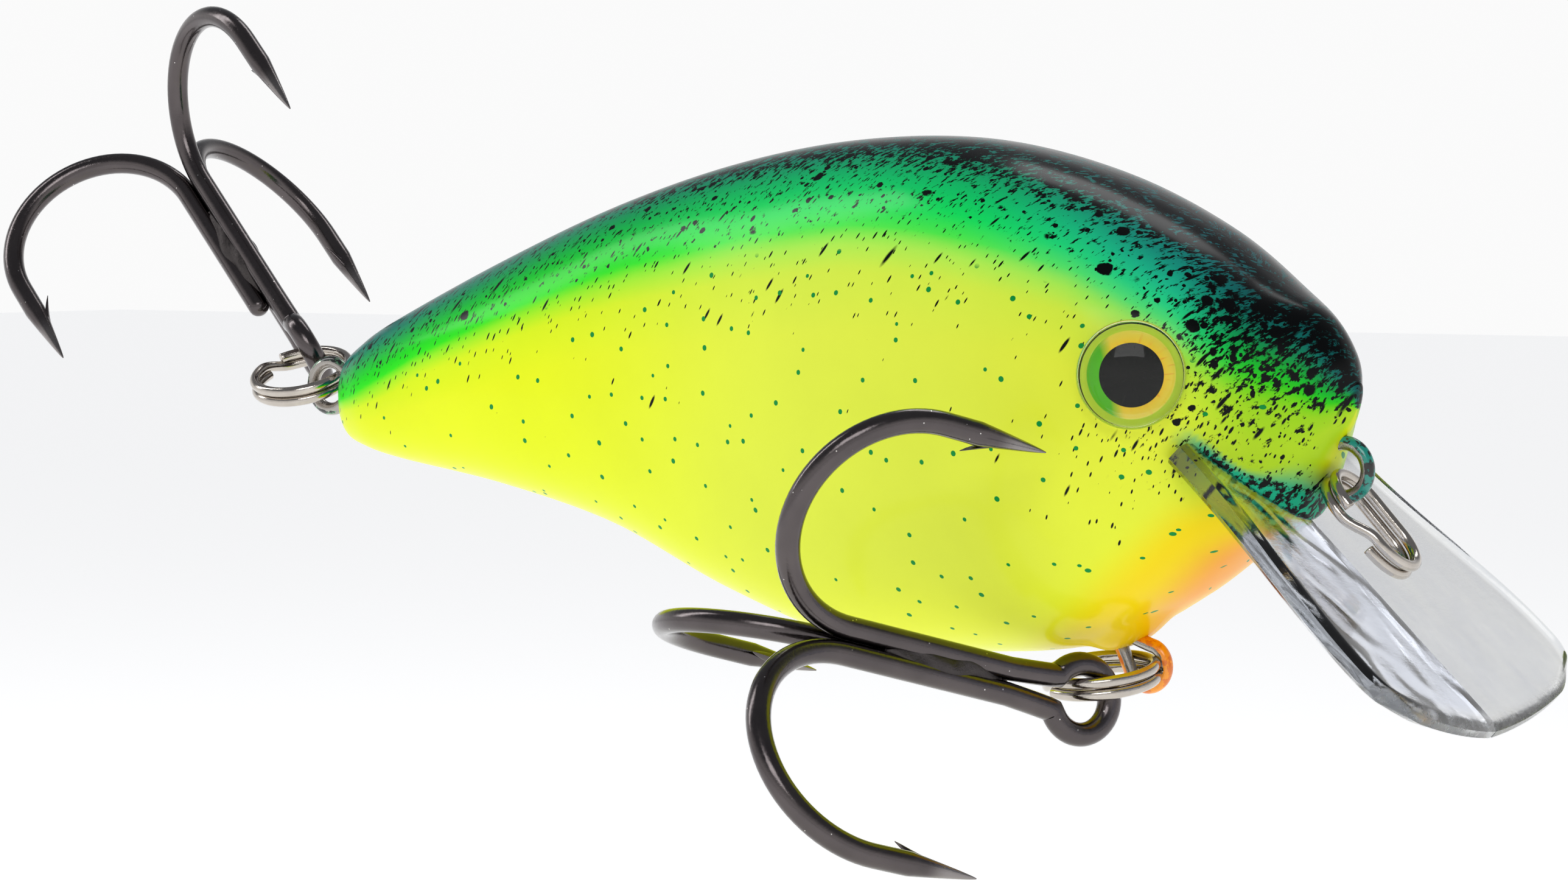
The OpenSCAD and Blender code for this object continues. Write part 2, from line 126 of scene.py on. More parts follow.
def curve_point(a, b, c, d, t):
    """A point between b and c on the Catmull-Rom curve through all four."""
    return 0.5 * (2 * b + (c - a) * t + (2 * a - 5 * b + 4 * c - d) * t * t
                  + (3 * b - a - 3 * c + d) * t ** 3)


def rounded_path(points, steps, closed=False):
    """A Catmull-Rom curve through the points."""
    p = np.asarray(points, float)
    n = len(p)
    out = []
    for i in range(n if closed else n - 1):
        if closed:
            around = [p[(i + k) % n] for k in (-1, 0, 1, 2)]
        else:
            around = [p[min(max(i + k, 0), n - 1)] for k in (-1, 0, 1, 2)]
        out += [curve_point(*around, k / steps) for k in range(steps)]
    if not closed:
        out.append(p[-1])
    return np.array(out)


def tube_faces(rings, sides, closed=False, flip=False):
    """Faces between rings of points, and over both ends unless the rings close up."""
    faces = []
    for i in range(rings if closed else rings - 1):
        a, b = i * sides, ((i + 1) % rings) * sides
        for j in range(sides):
            k = (j + 1) % sides
            f = (a + j, a + k, b + k, b + j)
            faces.append((f[0], f[3], f[2], f[1]) if flip else f)
    if not closed:
        first = tuple(range(sides))
        last = tuple((rings - 1) * sides + j for j in first)
        faces += [first, last[::-1]] if flip else [first[::-1], last]
    return faces


def sweep(path, radii, sides=20, closed=False, round_ends=(0, 0), start=(0, 0, 1)):
    """Points and faces of a round wire along a path. Ends may be domed, in radii."""
    path = np.asarray(path, float)
    radii = np.broadcast_to(radii, (len(path),)).astype(float)
    if not closed:
        path, radii = domed(path, radii, round_ends)
    n = len(path)
    if closed:
        tangents = np.roll(path, -1, 0) - np.roll(path, 1, 0)
    else:
        tangents = np.gradient(path, axis=0)
    tangents /= np.linalg.norm(tangents, axis=1)[:, None]
    normal = np.asarray(start, float)
    angles = 2 * math.pi * np.arange(sides) / sides
    points = []
    for i in range(n):
        normal = unit(normal - (normal @ tangents[i]) * tangents[i])
        side = np.cross(tangents[i], normal)
        ring = np.cos(angles)[:, None] * normal + np.sin(angles)[:, None] * side
        points.append(path[i] + radii[i] * ring)
    return np.vstack(points), tube_faces(n, sides, closed)


def domed(path, radii, round_ends):
    """Adds a few shrinking rings at each end, so that the wire ends in a dome."""
    steps = 5
    for end in (0, 1):
        height = round_ends[end]
        if not height:
            continue
        tip, near = (path[0], path[1]) if end == 0 else (path[-1], path[-2])
        radius = radii[0] if end == 0 else radii[-1]
        out = unit(tip - near)
        turn = np.radians(np.linspace(0, 86, steps + 1)[1:])
        extra = tip + np.outer(np.sin(turn) * height * radius, out)
        extra_radii = radius * np.cos(turn)
        if end == 0:
            path = np.vstack([extra[::-1], path])
            radii = np.concatenate([extra_radii[::-1], radii])
        else:
            path = np.vstack([path, extra])
            radii = np.concatenate([radii, extra_radii])
    return path, radii


def join_parts(parts):
    """Several (points, faces) as one."""
    points, faces, base = [], [], 0
    for part_points, part_faces in parts:
        points.append(np.asarray(part_points, float))
        faces += [tuple(i + base for i in f) for f in part_faces]
        base += len(part_points)
    return np.vstack(points), faces


def grid_faces(rows, columns, base=0, flip=False):
    faces = []
    for i in range(rows - 1):
        for j in range(columns - 1):
            a = base + i * columns + j
            f = (a, a + 1, a + columns + 1, a + columns)
            faces.append(f[::-1] if flip else f)
    return faces


# ---- Node helpers ------------------------------------------------------------
class Shader:
    """A material's node tree with short calls for the nodes used here."""

    def __init__(self, name):
        self.material = bpy.data.materials.new(name)
        self.material.use_nodes = True
        self.tree = self.material.node_tree
        self.bsdf = self.tree.nodes["Principled BSDF"]

    def set(self, **values):
        for key, value in values.items():
            self.bsdf.inputs[key.replace("_", " ")].default_value = value

    def link(self, source, target):
        self.tree.links.new(source, target)

    def to(self, socket, source):
        self.link(source, self.bsdf.inputs[socket])

    def node(self, kind, **settings):
        n = self.tree.nodes.new("ShaderNode" + kind)
        for key, value in settings.items():
            setattr(n, key, value)
        return n

    def feed(self, socket, value):
        if isinstance(value, bpy.types.NodeSocket):
            self.link(value, socket)
        else:
            socket.default_value = value

    def attribute(self, name, output="Fac"):
        return self.node("Attribute", attribute_name=name).outputs[output]

    def millimetres(self, scale=(1, 1, 1), turn=(0, 0, 0)):
        """Object coordinates in millimetres, scaled and turned."""
        place = self.node("TexCoord").outputs["Object"]
        mapping = self.node("Mapping")
        mapping.inputs["Scale"].default_value = [s / MM for s in scale]
        mapping.inputs["Rotation"].default_value = turn
        self.link(place, mapping.inputs["Vector"])
        return mapping.outputs["Vector"]

    def noise(self, vector, scale, detail=2, rough=0.5, output="Fac"):
        n = self.node("TexNoise")
        self.link(vector, n.inputs["Vector"])
        n.inputs["Scale"].default_value = scale
        n.inputs["Detail"].default_value = detail
        n.inputs["Roughness"].default_value = rough
        return n.outputs[output]

    def cells(self, vector, scale, dimensions="3D"):
        """Distance to the nearest cell point, and two random values for each cell."""
        n = self.node("TexVoronoi", voronoi_dimensions=dimensions)
        self.link(vector, n.inputs["Vector"])
        n.inputs["Scale"].default_value = scale
        split = self.node("SeparateColor")
        self.link(n.outputs["Color"], split.inputs["Color"])
        return n.outputs["Distance"], split.outputs["Red"], split.outputs["Green"]

    def math(self, operation, a, b=0.0, clamp=False):
        n = self.node("Math", operation=operation, use_clamp=clamp)
        self.feed(n.inputs[0], a)
        self.feed(n.inputs[1], b)
        return n.outputs[0]

    def span(self, value, low, high, to_low=0.0, to_high=1.0):
        n = self.node("MapRange")
        self.feed(n.inputs["Value"], value)
        self.feed(n.inputs["From Min"], low)
        self.feed(n.inputs["From Max"], high)
        self.feed(n.inputs["To Min"], to_low)
        self.feed(n.inputs["To Max"], to_high)
        return n.outputs["Result"]

    def mix(self, factor, a, b, blend="MIX"):
        n = self.node("Mix", data_type="RGBA", blend_type=blend)
        self.feed(n.inputs[0], factor)
        self.feed(n.inputs[6], a)
        self.feed(n.inputs[7], b)
        return n.outputs[2]

    def shift(self, vector, by, amount):
        """A vector pushed about by a noise colour."""
        n = self.node("VectorMath", operation="MULTIPLY_ADD")
        self.link(by, n.inputs[0])
        n.inputs[1].default_value = (amount,) * 3
        self.link(vector, n.inputs[2])
        return n.outputs[0]

    def slanted(self, vector, degrees, stretch):
        """A vector turned about z, then squeezed in y so that drops grow long there."""
        turned = self.node("Mapping")
        turned.inputs["Rotation"].default_value = (0, 0, math.radians(degrees))
        self.link(vector, turned.inputs["Vector"])
        squeezed = self.node("VectorMath", operation="MULTIPLY")
        self.link(turned.outputs["Vector"], squeezed.inputs[0])
        squeezed.inputs[1].default_value = (1, stretch, 1)
        return squeezed.outputs[0]

    def bump(self, height, distance_mm, strength=1.0):
        n = self.node("Bump")
        n.inputs["Strength"].default_value = strength
        n.inputs["Distance"].default_value = distance_mm * MM
        self.link(height, n.inputs["Height"])
        self.to("Normal", n.outputs["Normal"])


# ---- Paint of the body -------------------------------------------------------
def dots(shader, vector, scale, density, size, dimensions="3D"):
    """Round drops: density is the share of cells with a drop, size the biggest drop's."""
    distance, chance, _ = shader.cells(vector, scale, dimensions)
    empty = shader.math("SUBTRACT", 1.0, density)
    share = shader.math("SQRT", shader.span(chance, empty, 1.001))
    edge = shader.math("SUBTRACT", shader.math("MULTIPLY", share, size), distance)
    return shader.math("MULTIPLY", edge, 24.0, clamp=True)


def mist(shader, vector, scale, cover, sharp, detail=3):
    """Ragged specks of noise that cover about the asked share of the surface."""
    level = shader.math("SUBTRACT", 0.635, shader.math("MULTIPLY", cover, 0.27))
    speck = shader.math("SUBTRACT", shader.noise(vector, scale, detail, 0.62), level)
    speck = shader.math("MULTIPLY", speck, sharp, clamp=True)
    return shader.math("MULTIPLY", speck, shader.math("MULTIPLY", cover, 20.0, True))


def body_paint():
    s = Shader("body_paint")
    s.set(Coat_Weight=0.45, Coat_Roughness=0.16, Coat_IOR=1.34, Specular_IOR_Level=0.02)
    place = s.millimetres()
    wobble = s.noise(place, 2.2, 3, 0.6, "Color")
    ragged = s.shift(place, wobble, 0.3)
    spray = s.attribute("spray")
    skin = s.attribute("skin", "Vector")

    cover = s.math("MULTIPLY", spray, 0.8)
    black = mist(s, s.slanted(skin, 33, 0.42), 4.6, cover, 18.0)
    blots = s.math("MULTIPLY", s.attribute("blots"), 0.6)
    black = s.math("MAXIMUM", black, mist(s, place, 1.15, blots, 22.0, 5))
    for scale, size in ((0.8, 0.3), (1.7, 0.34), (3.2, 0.36)):
        black = s.math("MAXIMUM", black, dots(s, ragged, scale, spray, size))

    # Slanted streaks thrown along the flank, and finer ones between them.
    streaks = s.attribute("streaks")
    for angle, stretch, scale, size in ((33, 0.2, 0.6, 0.09), (30, 0.22, 1.3, 0.12),
                                        (25, 0.26, 2.6, 0.15), (22, 0.3, 4.4, 0.18)):
        drop = dots(s, s.slanted(skin, angle, stretch), scale, streaks, size, "2D")
        black = s.math("MAXIMUM", black, drop)

    distance, chance, size = s.cells(skin, 0.62, "2D")
    near = s.math("LESS_THAN", distance, s.span(size, 0, 1, 0.05, 0.076))
    picked = s.math("GREATER_THAN", chance, 0.36)
    glitter = s.math("MULTIPLY", s.math("MULTIPLY", near, picked), s.attribute("glitter"))

    tone = s.span(s.noise(place, 0.16, 3), 0.3, 0.7, 0.95, 1.0)
    colour = s.mix(1.0, s.attribute("paint", "Color"), tone, "MULTIPLY")
    colour = s.mix(black, colour, rgba("050708"))
    colour = s.mix(glitter, colour, rgba("0a8f3c"))
    s.to("Base Color", colour)
    s.to("Roughness", s.span(black, 0, 1, 0.4, 0.25))
    s.bump(s.noise(place, 0.7, 2), 0.02, 0.5)
    return s.material


# ---- Body --------------------------------------------------------------------
# Stations from tail to nose: top x, top z, bottom x, bottom z, half width.
STATIONS = np.array([
    [0.1, -0.3, 0.1, -1.7, 0.4],
    [0.5, 0.7, 0.6, -2.9, 1.3],
    [1.7, 1.55, 1.7, -3.4, 2.1],
    [4, 2.75, 4, -3.9, 2.9],
    [10.7, 5.6, 10.5, -4.9, 4.3],
    [17.4, 8.1, 17.2, -6.5, 5.4],
    [23.8, 9.85, 23.6, -9.1, 6.2],
    [30, 10.75, 30, -10.9, 7.4],
    [36, 10.7, 36, -11, 8.2],
    [41.6, 9.4, 41.5, -10.4, 8.33],
    [46.4, 7.25, 45.4, -8.55, 7.3],
    [50, 4.8, 48.9, -6.1, 5.35],
    [52.05, 3.5, 51.2, -5, 2.7],
    [53.15, 2.05, 52, -3.5, 1.65],
    [53.6, 0.8, 53, -1.35, 0.5],
])
SECTION_POWER = 2.3
WALL = 1.2
BODY_RINGS = 260
RING_STEPS = 100
CAVITY = (2.4, 12.3)            # the stations between which the body is hollow
TAIL_CAP, NOSE_CAP = 0.25, 0.2  # heights of the low domes that close the ends
# The moulded nub on the belly that the hanger wire leaves by.
NUB_X, NUB_R, NUB_H = 43.0, 1.5, 0.5


def section(s):
    """The body's section at s stations from the tail, on a smooth curve."""
    last = len(STATIONS) - 1
    k = min(int(s), last - 1)
    around = [STATIONS[min(max(k + i, 0), last)] for i in (-1, 0, 1, 2)]
    return curve_point(*around, s - k)


def skin_ring(s, side, inset, angles):
    """Points of one ring from the belly to the back."""
    here = section(s)
    top, bottom, half = here[0:2], here[2:4], here[4]
    inward = inset * unit(top - bottom)
    power = 2 / SECTION_POWER
    sine = np.sin(angles)
    share = (1 + np.sign(sine) * np.abs(sine) ** power) / 2
    xz = np.outer(1 - share, bottom + inward) + np.outer(share, top - inward)
    y = (half - inset) * np.clip(np.cos(angles), 0, None) ** power
    return np.column_stack([xz[:, 0], side * y, xz[:, 1]])


def end_cap(ring, outward, height, steps=5):
    """Rings that close an end of the skin in a low dome."""
    middle = np.array([ring[:, 0].mean(), 0, ring[:, 2].mean()])
    out = []
    for k in range(1, steps + 1):
        turn = math.radians(88 * k / steps)
        shrunk = middle + (ring - middle) * math.cos(turn)
        out.append(shrunk + np.array([outward * height * math.sin(turn), 0, 0]))
    return out


def body_half_mesh(side):
    """Points, faces and angles round the section of one moulded half with its wall."""
    angles = np.radians(np.linspace(-90, 90, RING_STEPS + 1))
    places = np.linspace(0, len(STATIONS) - 1, BODY_RINGS + 1)
    rings = [skin_ring(s, side, 0, angles) for s in places]
    tail = end_cap(rings[0], -1, TAIL_CAP)[::-1]
    nose = end_cap(rings[-1], 1, NOSE_CAP)
    outer = tail + rings + nose
    for ring in outer:
        away = np.hypot(ring[:, 0] - NUB_X, ring[:, 1]) / NUB_R
        ring[:, 2] -= NUB_H * np.exp(-away ** 4) * (ring[:, 2] < 0)
    cavity = np.linspace(*CAVITY, len(outer))
    inner = [skin_ring(s, side, WALL, angles) for s in cavity]
    columns = RING_STEPS + 1
    points = np.vstack(outer + inner)
    shift = len(outer) * columns
    faces = grid_faces(len(outer), columns, 0, side > 0)
    faces += grid_faces(len(inner), columns, shift, side < 0)
    for i in range(len(outer) - 1):
        for j, flip in ((0, side > 0), (columns - 1, side < 0)):
            a, b = i * columns + j, (i + 1) * columns + j
            f = (a, b, b + shift, a + shift)
            faces.append(f if flip else f[::-1])
    for i, flip in ((0, side < 0), (len(outer) - 1, side > 0)):
        cap = [i * columns + j for j in range(columns)]
        cavity_cap = [c + shift for c in cap]
        middle = [cap[0], cap[-1], cavity_cap[-1], cavity_cap[0]]
        for f in (cap[::-1], cavity_cap, middle):
            faces.append(tuple(f[::-1] if flip else f))
    return points, faces, np.tile(np.degrees(angles), 2 * len(outer))


# Where the yellow flank turns to green, as (x, angle round the section) pairs.
GREEN_LINE_X = [0, 2.5, 7, 14, 20.5, 27, 33, 44, 48, 51, 54]
GREEN_LINE_ANGLE = [-4, 0, 13, 23, 30, 35, 38, 38, 32, 17, 10]
# Colours across that line: degrees above it, at the tail, amidships, head and nose.
BAND = [
    (-26, "edfa16", "e8f648", "e9f43c", "bbe524"),
    (-12, "e0fa14", "dff84c", "d9f544", "a2de1c"),
    (-5, "a0f71e", "b8fc58", "a8fa5a", "72dc12"),
    (0, "2aef08", "4df850", "5ef47c", "34d412"),
    (6, "08e208", "0cf062", "2ae590", "14c428"),
    (14, "0bca32", "0cd870", "1fca98", "10a23c"),
    (23, "10ae52", "10b472", "17a28a", "10855a"),
    (33, "13946a", "128c78", "108680", "0f6c62"),
    (46, "117b70", "107874", "0e6e74", "0d5a58"),
]
BILL_BAND = 0.4     # width of the mint band along the bill's root
LEFT_SPECKS = 100   # puts the left side's specks elsewhere in the same noise


def blend(first, second, share):
    """Rows of colour that go from the first to the second as share goes to 1."""
    return first * (1 - share[:, None]) + second * share[:, None]


def paint_at(place, side, angle):
    """Base colour, black spray, blots, streaks and glitter for points of the body."""
    x = place[:, 0]
    line = np.interp(x, GREEN_LINE_X, GREEN_LINE_ANGLE)
    above = angle - line
    steps = [b[0] for b in BAND]
    tables = [np.array([linear(b[k]) for b in BAND]) for k in (1, 2, 3, 4)]
    colours = [np.column_stack([np.interp(above, steps, t[:, c]) for c in range(3)])
               for t in tables]
    colour = blend(colours[0], colours[1], smooth_step(x, 14, 32))
    colour = blend(colour, colours[2], smooth_step(x, 38, 47))
    colour = blend(colour, colours[3], smooth_step(x, 47.5, 51))

    low = 0.75 * smooth_step(-angle, 30, 75) * smooth_step(x, 14, 28)
    colour = blend(colour, linear("eff600"), low)
    fore_x = np.minimum(x, 48)
    throat = smooth_step(-angle + (fore_x - 40) * 5, 62, 90) * smooth_step(x, 36.5, 43)
    throat *= 1 - smooth_step(x, 49, 51)
    gold = smooth_step(-angle + (fore_x - 44) * 5, 70, 104)
    colour = blend(colour, blend(linear("ffe000"), linear("ffa600"), gold), throat)

    down, _, up = bill_axes(side)
    above_bill = (place - BILL_ORIGIN) @ up
    reach = BILL_BAND + 1.9 * smooth_step(x, 50.2, 52.6)
    chin = (1 - smooth_step(above_bill / reach, 0.45, 1)) * (above_bill > -0.4)
    chin *= smooth_step((place - BILL_ORIGIN) @ down, -6.2, -4.6)
    colour = blend(colour, linear("14b98a"), chin)

    tail = 1 - smooth_step(x, 13, 22)
    nose = smooth_step(x, 45.5, 51)
    spray = smooth_step(above, -3, 12) * (0.26 - 0.1 * tail)
    back = smooth_step(angle, 44, 74) * smooth_step(x, -6, 26)
    spray = np.maximum(spray, 0.9 * back)
    spray = np.maximum(spray, nose * smooth_step(angle, -30, 44) * 0.85)
    spray = np.maximum(spray, chin * 0.75)
    blots = smooth_step(angle, 50, 76) * (0.25 + 0.75 * smooth_step(x, 22, 40))
    blots = np.maximum(blots, nose * smooth_step(angle, 26, 60))
    blots = np.maximum(blots, chin * 0.45)
    streaks = smooth_step(above, -28, -2) * 0.32 + smooth_step(above, -60, -20) * 0.02
    streaks = np.maximum(streaks, tail * smooth_step(above, -5, 10))
    streaks = np.maximum(streaks, smooth_step(x, 42, 50) * smooth_step(angle, -44, -8))
    streaks *= 1 - smooth_step(-angle, 24, 50)
    glitter = (above < -6) & (angle > -88)
    return colour, spray, blots, streaks, glitter.astype(float)


def section_length(points, columns):
    """Distance round each section from half way up its side, in millimetres."""
    rings = points.reshape(-1, columns, 3)
    steps = np.linalg.norm(np.diff(rings, axis=1), axis=2)
    lengths = np.concatenate([np.zeros((len(rings), 1)), np.cumsum(steps, axis=1)], axis=1)
    return (lengths - lengths[:, -1:] * 0.5).ravel()


EYE_CENTRE = np.array([47.15, 7.02, 1.18])
EYE_AXIS = np.array([0.48, 0.87, 0.1])
EYE_D = 4.3
EYE_POCKET = 0.7
IRIS_R, IRIS_THICK = 2.09, 0.29
DOME_R, DOME_H, DOME_FOOT = 1.72, 0.62, 0.08


def eye_axes(side):
    flip = np.array([1, side, 1])
    return EYE_CENTRE * flip, axes((0, 0, 1), EYE_AXIS * flip)


def cut_eye_pocket(piece, side):
    """Cuts a round flat-bottomed pocket in the body for the eye."""
    centre, turn = eye_axes(side)
    sides = 96
    angles = 2 * math.pi * np.arange(sides) / sides
    radius = EYE_D / 2 + 0.01
    rim = np.column_stack([radius * np.cos(angles), radius * np.sin(angles)])
    low = np.column_stack([rim, np.full(sides, -EYE_POCKET)]) @ turn.T + centre
    high = np.column_stack([rim, np.full(sides, 2.5)]) @ turn.T + centre
    faces = [tuple(range(sides))[::-1], tuple(range(sides, 2 * sides))]
    faces += [(j, (j + 1) % sides, sides + (j + 1) % sides, sides + j)
              for j in range(sides)]
    mesh = bpy.data.meshes.new("eye_cutter")
    mesh.from_pydata(row(np.vstack([low, high])).tolist(), [], faces)
    cutter = bpy.data.objects.new("eye_cutter", mesh)
    bpy.context.scene.collection.objects.link(cutter)
    cut = piece.modifiers.new("eye_pocket", "BOOLEAN")
    cut.object = cutter
    cut.operation = "DIFFERENCE"
    cut.solver = "EXACT"
    graph = bpy.context.evaluated_depsgraph_get()
    result = bpy.data.meshes.new_from_object(piece.evaluated_get(graph))
    piece.modifiers.clear()
    bpy.data.objects.remove(cutter)
    old = piece.data
    piece.data = result
    bpy.data.meshes.remove(old)


def build_body_half(side, material):
    points, faces, angles = body_half_mesh(side)
    piece = make_piece("body_half_" + SIDE_NAME[side], points, faces, "lure_body", material,
                       "half_shell_" + SIDE_NAME[side])
    cut_eye_pocket(piece, side)
    tree = kdtree.KDTree(len(points))
    for i, p in enumerate(row(points)):
        tree.insert(p, i)
    tree.balance()
    origin = [tree.find(v.co)[1] for v in piece.data.vertices]
    place = np.array([v.co for v in piece.data.vertices]) / MM + LINE_TIE
    colour, spray, blots, streaks, glitter = paint_at(place, side, angles[origin])
    around = section_length(points, RING_STEPS + 1)[origin]
    x = place[:, 0]
    flat = np.column_stack([x, around, np.full(len(x), side * 40.0)])
    flat[:, 0] += LEFT_SPECKS * (side == LEFT)
    set_attribute(piece, "paint", "FLOAT_COLOR", np.column_stack([colour, np.ones(len(x))]))
    for name, values in (("spray", spray), ("blots", blots), ("streaks", streaks),
                         ("glitter", glitter)):
        set_attribute(piece, name, "FLOAT", values)
    set_attribute(piece, "skin", "FLOAT_VECTOR", flat)
    piece.data.shade_smooth()
    sharpen(piece, 40)


# ---- Eyes --------------------------------------------------------------------
def lathe(profile, sides=96):
    """Points and faces of a profile of (radius, height) turned about its Z axis."""
    angles = 2 * math.pi * np.arange(sides) / sides
    points = [(r * math.cos(a), r * math.sin(a), z) for r, z in profile for a in angles]
    return np.array(points), tube_faces(len(profile), sides)


def iris_material():
    s = Shader("iris")
    s.set(Specular_IOR_Level=0.1)
    place = s.attribute("dish", "Vector")
    split = s.node("SeparateXYZ")
    s.link(place, split.inputs["Vector"])
    x, y = split.outputs["X"], split.outputs["Y"]
    radius = s.node("VectorMath", operation="LENGTH")
    s.link(place, radius.inputs[0])
    radius = radius.outputs["Value"]
    turn = s.math("ARCTAN2", y, x)
    polar = s.node("CombineXYZ")
    s.link(s.math("MULTIPLY", turn, 6.0), polar.inputs["X"])
    s.link(s.math("MULTIPLY", radius, 0.8), polar.inputs["Y"])
    rays = s.noise(polar.outputs["Vector"], 1.6, 5, 0.7)
    gold = s.mix(s.span(radius, 1.15, 1.7), rgba("ffcc22"), rgba("ffee5a"))
    gold = s.mix(s.span(rays, 0.56, 0.74, 0.0, 0.8), gold, rgba("f0861e"))
    rear = s.span(s.math("ADD", y, s.math("MULTIPLY", x, -0.2)), 0.55, 1.0)
    gold = s.mix(rear, gold, rgba("58c21e"))
    rim = s.span(radius, 1.66, 1.74)
    gold = s.mix(rim, gold, rgba("cdea3c"))
    pupil = s.math("LESS_THAN", radius, 1.23)
    s.to("Base Color", s.mix(pupil, gold, rgba("050506")))
    s.to("Roughness", s.span(rays, 0.3, 0.7, 0.22, 0.42))
    s.bump(rays, 0.012, 0.4)
    return s.material


def clear_resin(name, tint):
    s = Shader(name)
    s.set(Roughness=0.0, Transmission_Weight=1.0, IOR=1.25)
    place = s.millimetres()
    haze = s.noise(place, 0.9, 3)
    s.to("Base Color", s.mix(haze, rgba("ffffff"), rgba(tint)))
    s.to("Roughness", s.span(haze, 0.45, 0.9, 0.0, 0.06))
    return s.material


def build_eye(side, iris, lens):
    centre, turn = eye_axes(side)
    where = SIDE_NAME[side]
    floor = -EYE_POCKET
    face = floor + IRIS_THICK
    points, faces = lathe([(0.04, floor), (1.0, floor), (IRIS_R, floor),
                           (IRIS_R, face - 0.05), (1.6, face - 0.01), (1.25, face),
                           (1.0, face), (0.5, face), (0.04, face)])
    piece = make_piece("eye_iris_print_" + where, points @ turn.T + centre, faces,
                       "lure_body", iris, "eye_iris_" + where)
    set_attribute(piece, "dish", "FLOAT_VECTOR",
                  np.column_stack([points[:, 0], -side * points[:, 1], points[:, 2] * 0]))
    sharpen(piece, 50)
    seat = face + 0.02
    rim_r = EYE_D / 2 - 0.004
    bead = [(rim_r + 0.05 * math.cos(a), 0.1 + 0.11 * math.sin(a))
            for a in np.radians(np.linspace(-60, 170, 9))]
    groove = [(1.9, 0.08), (1.84, 0.02), (1.78, 0.04)]
    cap = [(DOME_R * math.cos(a), DOME_FOOT + (DOME_H - DOME_FOOT) * math.sin(a))
           for a in np.radians(np.linspace(4, 88, 16))]
    profile = [(0.04, seat), (rim_r, seat), (rim_r, -0.1)] + bead + groove + cap
    points, faces = lathe(profile)
    piece = make_piece("eye_lens_dome_" + where, points @ turn.T + centre, faces,
                       "lure_body", lens, "eye_lens_" + where)
    sharpen(piece, 55)


# ---- Bill --------------------------------------------------------------------
BILL_ORIGIN = np.array([52.4, 0, -5.7])
BILL_ANGLE = 43
BILL_CANT = 8
BILL_ROOT, BILL_TIP = -5.2, 10.3
BILL_HALF = 8.5
BILL_ROOT_HALF = 6.5
BILL_CORNER_R = 2.6
BILL_CORNER_BACK = 0.6  # how far the corners stand back from the middle of the tip
BILL_TIP_R = 24
BILL_THICK = (1.1, 0.8)  # at the root and at the tip


def bill_plan(u, v):
    """A point of one half's plan for u from root to tip and v from seam to edge."""
    corner = np.array([BILL_TIP - BILL_CORNER_R - BILL_CORNER_BACK,
                       BILL_HALF - BILL_CORNER_R])
    widen = smooth_step(u, 0.05, 0.85)
    half = BILL_ROOT_HALF + (BILL_HALF - BILL_ROOT_HALF) * widen
    y = v * half
    tip = BILL_TIP - (BILL_TIP_R - np.sqrt(BILL_TIP_R ** 2 - y ** 2))
    x = BILL_ROOT + u * (tip - BILL_ROOT)
    reach = np.array([tip - corner[0], half - corner[1]])
    a, b = (x - corner[0]) / reach[0], (y - corner[1]) / reach[1]
    if a > 0 and b > 0:
        x = corner[0] + reach[0] * a * math.sqrt(1 - b * b / 2)
        y = corner[1] + reach[1] * b * math.sqrt(1 - a * a / 2)
    return x, y


def bill_axes(side):
    """Along one half of the bill, out to its edge, and up from its top face."""
    pitch, cant = math.radians(BILL_ANGLE), math.radians(BILL_CANT)
    down = np.array([math.cos(pitch), 0, -math.sin(pitch)])
    level = np.array([0, 1, 0])
    lift = np.array([math.sin(pitch), 0, math.cos(pitch)])
    out = side * math.cos(cant) * level + math.sin(cant) * lift
    return down, out, math.cos(cant) * lift - side * math.sin(cant) * level


def bill_material():
    s = Shader("clear_bill")
    s.set(Transmission_Weight=1.0, IOR=1.5, Coat_Weight=0.4, Coat_Roughness=0.02)
    place = s.millimetres()
    edge = s.attribute("edge")
    flow = s.noise(s.millimetres(scale=(0.35, 1.0, 0.35)), 0.8, 4, 0.6)
    tint = s.mix(s.span(flow, 0.35, 0.7), rgba("efefec"), rgba("e2e3e5"))
    tint = s.mix(s.span(edge, 0.0, 0.5, 0.5, 0.0), tint, rgba("dfe5ee"))
    tint = s.mix(s.attribute("swirl"), tint, rgba("d9deea"))
    # The grey at the root corner is painted shade: it stands for the dark inside of the
    # hollow body seen through the clear plastic.
    s.to("Base Color", s.mix(s.attribute("root"), tint, rgba("8d8f90")))
    grain = s.noise(place, 3.2, 4, 0.7)
    frost = s.math("MULTIPLY", s.attribute("frost"), s.span(grain, 0.3, 0.7, 0.35, 1.0))
    s.to("Roughness", s.span(frost, 0, 1, 0.02, 0.34))
    scuffs = s.noise(s.millimetres(scale=(1.0, 0.2, 1.0)), 2.4, 5, 0.75)
    warp = s.shift(place, s.noise(place, 0.16, 2, 0.5, "Color"), 5.0)
    swirl = s.math("SINE", s.math("MULTIPLY", s.noise(warp, 0.1, 2), 30.0))
    swirl = s.math("MULTIPLY", swirl, s.attribute("swirl"))
    fine = s.math("ADD", scuffs, s.math("MULTIPLY", frost, grain))
    s.bump(s.math("ADD", fine, s.math("MULTIPLY", swirl, 4.0)), 0.012, 0.6)
    return s.material


